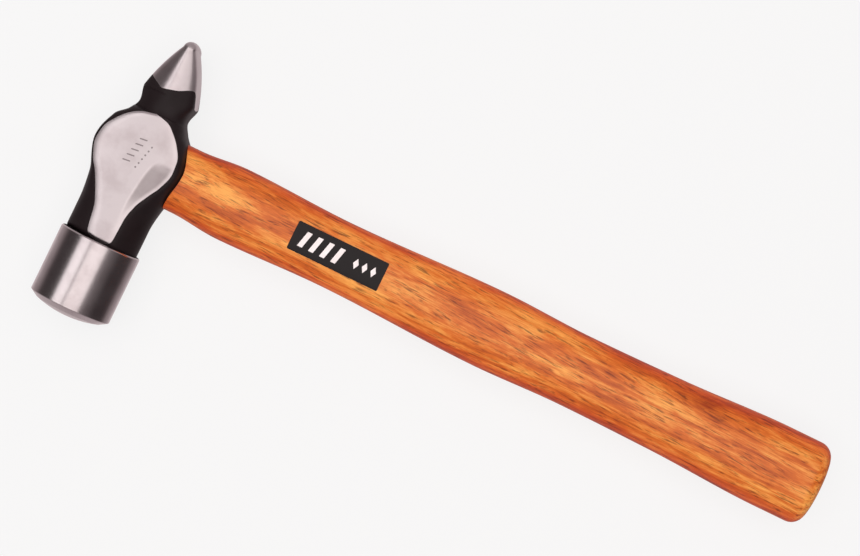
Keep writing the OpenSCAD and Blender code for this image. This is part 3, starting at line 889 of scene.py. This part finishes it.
def handleRings():
    # Rings from the tenon's end, through the eye and the shoulder, to the middle of the butt
    shape = handleShape
    count = shape["ringPoints"]
    rings = []
    endY, endZ = tenonOutline(-bossReach, count)
    for k in range(1, shape["endRings"] + 1):
        share = k / shape["endRings"]
        y, z = endY * share, endZ * share
        rings.append(np.stack([-bossSide(y, 0) + shape["endSunk"], y, z], 1))
    for u in np.linspace(1 / shape["tenonRings"], 1, shape["tenonRings"]):
        y, z = tenonOutline(-bossReach + 2 * bossReach * u, count)
        start, end = -bossSide(y, 0) + shape["endSunk"], bossSide(y, 1) + shape["shoulderGap"]
        rings.append(np.stack([start + (end - start) * u, y, z], 1))
    unitY, unitZ = ovalDirection(shape["power"], np.arange(count) * 2 * math.pi / count)
    first = gripStations[0][0]
    innerY, innerZ = rings[-1][:, 1], rings[-1][:, 2]
    outer = gripHalf(np.array([first]))[0]
    for share in shape["shoulderShares"]:
        y = innerY + (outer * unitY - innerY) * share
        z = innerZ + (outer * shape["flat"] * unitZ - innerZ) * share
        rings.append(np.stack([bossSide(y, 1) + shape["shoulderGap"], y, z], 1))
    for x in np.arange(first, buttEnd - shape["buttDome"] - shape["buttRound"], shape["ringStep"]):
        settled = smoothStep(0, shape["settle"], x - first)
        half = gripHalf(np.array([x]))[0]
        place = (bossSide(half * unitY, 1) + shape["shoulderGap"] + x - first) * (1 - settled) + x * settled
        half = gripHalf(place)
        rings.append(np.stack([place, half * unitY, half * shape["flat"] * unitZ], 1))
    for t in np.radians(np.arange(0, 81, shape["rimTurn"])):
        x = buttEnd - shape["buttDome"] - shape["buttRound"] * (1 - math.sin(t))
        half = gripStations[-1][1] - shape["buttRound"] * (1 - math.cos(t))
        rings.append(np.stack([np.full(count, x), half * unitY,
                               (half - (1 - shape["flat"]) * gripStations[-1][1]) * unitZ], 1))
    rimY, rimZ = rings[-1][:, 1], rings[-1][:, 2]
    for share in np.linspace(0.9, 0.05, shape["domeRings"]):
        x = buttEnd - shape["buttDome"] * share ** 2
        rings.append(np.stack([np.full(count, x), rimY * share, rimZ * share], 1))
    return rings


handle = meshObject("woodenHandle", *skinOver(handleRings()), woodMaterial(), handleShape["sharpAngle"])
woodPoints = localPoints(handle)
# Painted shade on the narrow sides: how far each point lies towards them
outward = np.abs(woodPoints[:, 1]) / gripHalf(woodPoints[:, 0])
storeValues(handle, "flank", smoothStep(handleShape["flankFrom"], 1.0, outward))
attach(handle, "root")
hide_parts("handle")
print("handle made,", len(handle.data.polygons), "faces")


# Pale hardwood, split and driven dry. Its sawn end shows short dark pores.
wedgeWoodFinish = {
    "pale": "#c9a06a",
    "dark": "#8a6238",
    "grain": 0.7,           # mm between pores
    "tones": (0.35, 0.6),   # where the dark and pale colours stand
    "rough": 0.7,
    "bumpStrength": 0.4,
    "bumpHeight": 0.08,     # mm
}


def wedgeWoodMaterial():
    look = wedgeWoodFinish
    material, tree, shader = newMaterial("bare hardwood end grain")
    coords = addNode(tree, "ShaderNodeTexCoord").outputs["Object"]
    grain = addNode(tree, "ShaderNodeTexNoise", {"Scale": 1 / (look["grain"] * mm), "Detail": 4.0,
                                                 "Roughness": 0.65}, {"Vector": coords})
    colour = stops(addNode(tree, "ShaderNodeValToRGB", links={0: grain.outputs["Fac"]}),
                   *zip(look["tones"], (linear(look["dark"]), linear(look["pale"]))))
    tree.links.new(colour.outputs["Color"], shader.inputs["Base Color"])
    shader.inputs["Roughness"].default_value = look["rough"]
    bump = addNode(tree, "ShaderNodeBump",
                   {"Strength": look["bumpStrength"], "Distance": look["bumpHeight"] * mm},
                   {"Height": grain.outputs["Fac"]})
    tree.links.new(bump.outputs[0], shader.inputs["Normal"])
    return material


# Mild steel, sheared and hammered in. Its end is dull grey with small dents.
wedgeSteelFinish = {
    "bright": "#8d8684",
    "dull": "#5a5352",
    "dent": 1.4,            # mm between hammer dents
    "tones": (0.35, 0.62),  # where the dull and bright colours stand
    "smoothest": 0.38,
    "roughest": 0.6,
    "bumpStrength": 0.5,
    "bumpHeight": 0.12,     # mm
}


def wedgeSteelMaterial():
    look = wedgeSteelFinish
    material, tree, shader = newMaterial("sheared mild steel")
    coords = addNode(tree, "ShaderNodeTexCoord").outputs["Object"]
    dents = addNode(tree, "ShaderNodeTexNoise", {"Scale": 1 / (look["dent"] * mm), "Detail": 4.0},
                    {"Vector": coords})
    colour = stops(addNode(tree, "ShaderNodeValToRGB", links={0: dents.outputs["Fac"]}),
                   *zip(look["tones"], (linear(look["dull"]), linear(look["bright"]))))
    tree.links.new(colour.outputs["Color"], shader.inputs["Base Color"])
    shader.inputs["Metallic"].default_value = 1.0
    rough = addNode(tree, "ShaderNodeMapRange", {"To Min": look["smoothest"], "To Max": look["roughest"]},
                    {"Value": dents.outputs["Fac"]})
    tree.links.new(rough.outputs[0], shader.inputs["Roughness"])
    bump = addNode(tree, "ShaderNodeBump",
                   {"Strength": look["bumpStrength"], "Distance": look["bumpHeight"] * mm},
                   {"Height": dents.outputs["Fac"]})
    tree.links.new(bump.outputs[0], shader.inputs["Normal"])
    return material


def dress(node, material):
    # Gives a CAD piece its finish
    slots = frame["nodes"][node].data.materials
    slots.clear()
    slots.append(material)


wedgeSteel = wedgeSteelMaterial()
dress("wooden_wedge", wedgeWoodMaterial())
dress("steel_wedge_face_side", wedgeSteel)
dress("steel_wedge_peen_side", wedgeSteel)
print("wedges dressed")


# Vinyl film, screen printed and stuck on. It is glossy black, and follows the wood's curve with slight
# ripples. Sizes in mm, heights from the wood's surface
labelLook = {
    "length": 37.5, "width": 11.5, "reach": 83.9, "corner": 0.5, "cornerSteps": 3,
    "filmHeights": (-0.05, 0.14), "printHeights": (0.12, 0.16),
    "meshStep": 0.8, "sharpAngle": 50,
    "film": "#0f090a",
    "filmRough": (0.17, 0.3),
    "print": "#f4eeee",
    "printRough": (0.3, 0.43),
    "gloss": 0.3,
    "ripple": 5,            # mm between ripples
    "rippleFrom": 0.3,
    "rippleTo": 0.7,
    "rippleShade": 0.88,    # how dark the film is in a ripple
    "bumpStrength": 0.15,
    "bumpHeight": 0.05,
}
# Plain print in no writing: slanted bars and a row of small diamonds, from the label's middle
printShapes = {
    "bars": 4, "barFirst": -14.6, "barStep": 4.6, "barHalf": (1.0, 3.2), "barSlant": 1.6,
    "diamonds": 3, "diamondFirst": 7.4, "diamondStep": 3.6, "diamondHalf": (1.1, 2.1), "diamondUp": 0.2,
}


def filmMaterial(name, hexCode, roughness):
    look = labelLook
    material, tree, shader = newMaterial(name)
    coords = addNode(tree, "ShaderNodeTexCoord").outputs["Object"]
    ripple = addNode(tree, "ShaderNodeTexNoise", {"Scale": 1 / (look["ripple"] * mm), "Detail": 3.0},
                     {"Vector": coords})
    base = linear(hexCode)
    colour = stops(addNode(tree, "ShaderNodeValToRGB", links={0: ripple.outputs["Fac"]}),
                   (look["rippleFrom"], tuple(c * look["rippleShade"] for c in base[:3]) + (1,)),
                   (look["rippleTo"], base))
    tree.links.new(colour.outputs["Color"], shader.inputs["Base Color"])
    rough = addNode(tree, "ShaderNodeMapRange", {"To Min": roughness[0], "To Max": roughness[1]},
                    {"Value": ripple.outputs["Fac"]})
    tree.links.new(rough.outputs[0], shader.inputs["Roughness"])
    bump = addNode(tree, "ShaderNodeBump",
                   {"Strength": look["bumpStrength"], "Distance": look["bumpHeight"] * mm},
                   {"Height": ripple.outputs["Fac"]})
    tree.links.new(bump.outputs[0], shader.inputs["Normal"])
    shader.inputs["Specular IOR Level"].default_value = look["gloss"]
    return material


def woodTop(x, y):
    # Height of the wood's upper surface above the eye centre
    half = gripHalf(x)
    power = handleShape["power"]
    return half * handleShape["flat"] * (1 - np.clip(np.abs(y / half), 0, 0.999) ** power) ** (1 / power)


def patchOnWood(name, outline, heights, material):
    # Thin solid over an outline of (x, y) corners that lies on the wood between two heights
    low, high = heights
    flatMesh = bmesh.new()
    ring = [flatMesh.verts.new((*p, 0)) for p in outline]
    flatMesh.faces.new(ring)
    xs, ys = [p[0] for p in outline], [p[1] for p in outline]
    for normal, values in (((1, 0, 0), xs), ((0, 1, 0), ys)):
        count = max(2, int((max(values) - min(values)) / labelLook["meshStep"]) + 1)
        for cut in np.linspace(min(values), max(values), count)[1:-1]:
            bmesh.ops.bisect_plane(flatMesh, geom=flatMesh.verts[:] + flatMesh.edges[:] + flatMesh.faces[:],
                                   plane_co=Vector(normal) * cut, plane_no=normal)
    lifted = bmesh.ops.extrude_face_region(flatMesh, geom=flatMesh.faces[:])
    top = {v for v in lifted["geom"] if isinstance(v, bmesh.types.BMVert)}
    bmesh.ops.recalc_face_normals(flatMesh, faces=flatMesh.faces)
    for v in flatMesh.verts:
        rise = high if v in top else low
        v.co.z = float(woodTop(np.array([v.co.x]), np.array([v.co.y]))[0]) + rise
    points = [tuple(v.co) for v in flatMesh.verts]
    flatMesh.verts.index_update()
    faces = [tuple(v.index for v in f.verts) for f in flatMesh.faces]
    flatMesh.free()
    return meshObject(name, points, faces, material, labelLook["sharpAngle"])


def printOutlines():
    # Corners of each bar and each diamond
    shapes = printShapes
    outlines = []
    halfX, halfY = shapes["barHalf"]
    slant = shapes["barSlant"]
    for k in range(shapes["bars"]):
        x = labelLook["reach"] + shapes["barFirst"] + shapes["barStep"] * k
        outlines.append([(x - halfX, -halfY), (x + halfX, -halfY),
                         (x + halfX + slant, halfY), (x - halfX + slant, halfY)])
    halfX, halfY = shapes["diamondHalf"]
    y = shapes["diamondUp"]
    for k in range(shapes["diamonds"]):
        x = labelLook["reach"] + shapes["diamondFirst"] + shapes["diamondStep"] * k
        outlines.append([(x - halfX, y), (x, y - halfY), (x + halfX, y), (x, y + halfY)])
    return outlines


def makeLabel():
    look = labelLook
    halfX, halfY, r = look["length"] / 2, look["width"] / 2, look["corner"]
    corners = []
    for sx, sy, first in ((1, 1, 0), (-1, 1, 90), (-1, -1, 180), (1, -1, 270)):
        for k in range(look["cornerSteps"] + 1):
            a = math.radians(first + 90 / look["cornerSteps"] * k)
            corners.append((look["reach"] + sx * (halfX - r) + r * math.cos(a),
                            sy * (halfY - r) + r * math.sin(a)))
    film = filmMaterial("black vinyl film", look["film"], look["filmRough"])
    label = patchOnWood("labelFilm", corners, look["filmHeights"], film)
    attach(label, "root")
    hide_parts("label")
    ink = filmMaterial("white screen print", look["print"], look["printRough"])
    for k, outline in enumerate(printOutlines()):
        mark = patchOnWood(f"labelPrint{k + 1}", outline, look["printHeights"], ink)
        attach(mark, "root")


makeLabel()
print("label made")
